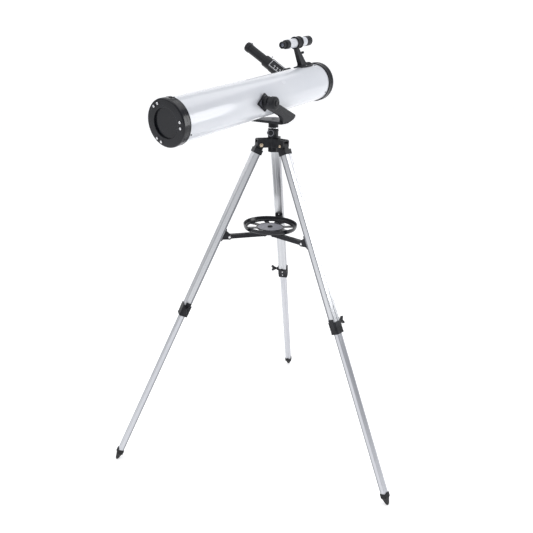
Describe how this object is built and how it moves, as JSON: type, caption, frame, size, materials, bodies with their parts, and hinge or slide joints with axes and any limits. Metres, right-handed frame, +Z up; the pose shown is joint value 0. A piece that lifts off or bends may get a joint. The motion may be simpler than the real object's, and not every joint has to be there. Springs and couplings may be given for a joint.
{
  "type": "telescope on tripod",
  "caption": "Reflecting telescope with a long round tube, side focuser and finder scope on a yoke mount, over a folding tripod with a round accessory tray.",
  "frame": {"origin": "centre of the bounding box at floor level", "axes": "+Z up; +Y the way the tube points, towards its open front end; +X the side of the yoke arm and tilt knob on the right of someone looking along the tube"},
  "size_m": [0.7596, 0.8574, 1.217],
  "materials": {
    "black_plastic": "satin moulded plastic",
    "black_gloss": "gloss",
    "white_paint": "gloss enamel",
    "leg_aluminium": "brushed and anodised",
    "lower_leg_aluminium": "brushed and anodised",
    "chrome": "polished",
    "brass_screw": "plated screw",
    "foot_rubber": "moulded",
    "mirror_glass": "front-silvered",
    "lens_glass": "coated lens"
  },
  "bodies": {
    "hub": {"hub_body": "black_plastic", "azimuth_washer": "chrome", "hinge_bolt_1": "brass_screw", "hinge_bolt_2": "brass_screw", "hinge_bolt_3": "brass_screw"},
    "azimuth_lock": {"azimuth_lock_knob": "black_plastic"},
    "yoke": {"yoke_frame": "black_plastic", "azimuth_spindle": "chrome"},
    "optical_tube": {"main_tube": "white_paint", "rear_cell": "black_gloss", "mirror_cell": "black_gloss", "primary_mirror": "mirror_glass", "front_ring": "black_gloss", "spider": "black_plastic", "secondary_mirror": "mirror_glass", "side_bracket_right": "black_plastic", "side_bracket_left": "black_plastic", "altitude_bolt_right": "chrome", "altitude_bolt_left": "chrome", "focuser_housing": "black_plastic", "finder_bracket": "black_plastic", "finder_tube": "white_paint", "finder_eyepiece": "black_plastic", "finder_objective": "lens_glass"},
    "altitude_knob_right": {"altitude_knob_right": "black_plastic"},
    "altitude_knob_left": {"altitude_knob_left": "black_plastic"},
    "focus_knobs": {"focus_knobs": "black_plastic"},
    "drawtube": {"drawtube": "black_plastic"},
    "eyepiece_screw": {"eyepiece_screw": "chrome"},
    "eyepiece": {"eyepiece": "black_plastic"},
    "tray": {"accessory_tray": "black_gloss", "spreader_hub": "black_plastic", "tray_screw": "black_plastic"},
    "leg_1": {"leg_socket_1": "black_plastic", "upper_leg_1": "leg_aluminium", "leg_collar_1": "black_plastic", "spreader_bracket_1": "black_plastic", "arm_pin_1": "brass_screw"},
    "lower_leg_1": {"lower_leg_1": "lower_leg_aluminium", "foot_1": "foot_rubber"},
    "leg_lock_1": {"leg_lock_knob_1": "black_plastic"},
    "arm_1": {"spreader_arm_1": "black_plastic"},
    "leg_2": {"leg_socket_2": "black_plastic", "upper_leg_2": "leg_aluminium", "leg_collar_2": "black_plastic", "spreader_bracket_2": "black_plastic", "arm_pin_2": "brass_screw"},
    "lower_leg_2": {"lower_leg_2": "lower_leg_aluminium", "foot_2": "foot_rubber"},
    "leg_lock_2": {"leg_lock_knob_2": "black_plastic"},
    "arm_2": {"spreader_arm_2": "black_plastic"},
    "leg_3": {"leg_socket_3": "black_plastic", "upper_leg_3": "leg_aluminium", "leg_collar_3": "black_plastic", "spreader_bracket_3": "black_plastic", "arm_pin_3": "brass_screw"},
    "lower_leg_3": {"lower_leg_3": "lower_leg_aluminium", "foot_3": "foot_rubber"},
    "leg_lock_3": {"leg_lock_knob_3": "black_plastic"},
    "arm_3": {"spreader_arm_3": "black_plastic"}
  },
  "joints": [
    {"name": "azimuth_turn", "type": "hinge", "parent": "hub", "child": "yoke", "pos_m": [-0.08823, -0.00777, 0.98464], "axis": [0, 0, 1], "continuous": true},
    {"name": "azimuth_lock_turn", "type": "hinge", "parent": "hub", "child": "azimuth_lock", "pos_m": [-0.08823, -0.00777, 0.97164], "axis": [0.309, -0.9511, 0], "continuous": true},
    {"name": "altitude_tilt", "type": "hinge", "parent": "yoke", "child": "optical_tube", "pos_m": [-0.08823, -0.12748, 1.06074], "axis": [1, 0, 0], "range_deg": [-6.5, 65]},
    {"name": "altitude_knob_right_turn", "type": "hinge", "parent": "optical_tube", "child": "altitude_knob_right", "pos_m": [-0.08823, -0.12748, 1.06074], "axis": [1, 0, 0], "continuous": true},
    {"name": "altitude_knob_left_turn", "type": "hinge", "parent": "optical_tube", "child": "altitude_knob_left", "pos_m": [-0.08823, -0.12748, 1.06074], "axis": [-1, 0, 0], "continuous": true},
    {"name": "focus_slide", "type": "slide", "parent": "optical_tube", "child": "drawtube", "axis": [-0.8607, -0.0499, 0.5066], "range_m": [-0.04, 0.008]},
    {"name": "focus_knob_turn", "type": "hinge", "parent": "optical_tube", "child": "focus_knobs", "pos_m": [-0.15588, 0.10687, 1.10233], "axis": [0, 0.9952, 0.0981], "range_deg": [-160, 780]},
    {"name": "eyepiece_slide", "type": "slide", "parent": "drawtube", "child": "eyepiece", "axis": [-0.8607, -0.0499, 0.5066], "range_m": [0, 0.03]},
    {"name": "eyepiece_screw_turn", "type": "hinge", "parent": "drawtube", "child": "eyepiece_screw", "pos_m": [-0.25057, 0.09926, 1.17956], "axis": [0.3599, 0.644, 0.6751], "continuous": true},
    {"name": "tray_lift", "type": "slide", "parent": "hub", "child": "tray", "axis": [0, 0, 1], "range_m": [0, 0.0626]},
    {"name": "leg_fold_1", "type": "hinge", "parent": "hub", "child": "leg_1", "pos_m": [-0.10247, 0.02627, 0.93904], "axis": [-0.9225, -0.3859, 0], "range_deg": [0, 6]},
    {"name": "leg_extend_1", "type": "slide", "parent": "leg_1", "child": "lower_leg_1", "axis": [-0.1613, 0.3856, -0.9084], "range_m": [-0.4, 0]},
    {"name": "leg_lock_turn_1", "type": "hinge", "parent": "leg_1", "child": "leg_lock_1", "pos_m": [-0.18329, 0.21947, 0.48391], "axis": [-0.9225, -0.3859, 0], "continuous": true},
    {"name": "arm_turn_1", "type": "hinge", "parent": "leg_1", "child": "arm_1", "pos_m": [-0.13531, 0.10477, 0.68464], "axis": [-0.9225, -0.3859, 0], "range_deg": [0, 36.4]},
    {"name": "leg_fold_2", "type": "hinge", "parent": "hub", "child": "leg_2", "pos_m": [-0.11059, -0.03713, 0.93904], "axis": [0.7955, -0.606, 0], "range_deg": [0, 6]},
    {"name": "leg_extend_2", "type": "slide", "parent": "leg_2", "child": "lower_leg_2", "axis": [-0.2533, -0.3325, -0.9084], "range_m": [-0.4, 0]},
    {"name": "leg_lock_turn_2", "type": "hinge", "parent": "leg_2", "child": "leg_lock_2", "pos_m": [-0.2375, -0.20372, 0.48391], "axis": [0.7955, -0.606, 0], "continuous": true},
    {"name": "arm_turn_2", "type": "hinge", "parent": "leg_2", "child": "arm_2", "pos_m": [-0.16216, -0.10482, 0.68464], "axis": [0.7955, -0.606, 0], "range_deg": [0, 36.4]},
    {"name": "leg_fold_3", "type": "hinge", "parent": "hub", "child": "leg_3", "pos_m": [-0.05163, -0.01246, 0.93904], "axis": [0.1271, 0.9919, 0], "range_deg": [0, 6]},
    {"name": "leg_extend_3", "type": "slide", "parent": "leg_3", "child": "lower_leg_3", "axis": [0.4146, -0.0531, -0.9084], "range_m": [-0.4, 0]},
    {"name": "leg_lock_turn_3", "type": "hinge", "parent": "leg_3", "child": "leg_lock_3", "pos_m": [0.1561, -0.03907, 0.48391], "axis": [0.1271, 0.9919, 0], "continuous": true},
    {"name": "arm_turn_3", "type": "hinge", "parent": "leg_3", "child": "arm_3", "pos_m": [0.03278, -0.02328, 0.68464], "axis": [0.1271, 0.9919, 0], "range_deg": [0, 36.4]}
  ],
  "couplings": [
    {"joint": "leg_fold_2", "follows": "leg_fold_1", "ratio": 1},
    {"joint": "leg_fold_3", "follows": "leg_fold_1", "ratio": 1},
    {"joint": "tray_lift", "follows": "leg_fold_1", "m_per_rad": 0.59683},
    {"joint": "focus_knob_turn", "follows": "focus_slide", "rad_per_m": -303.03},
    {"joint": "arm_turn_1", "follows": "leg_fold_1", "ratio": 6.05},
    {"joint": "arm_turn_2", "follows": "leg_fold_1", "ratio": 6.05},
    {"joint": "arm_turn_3", "follows": "leg_fold_1", "ratio": 6.05}
  ]
}
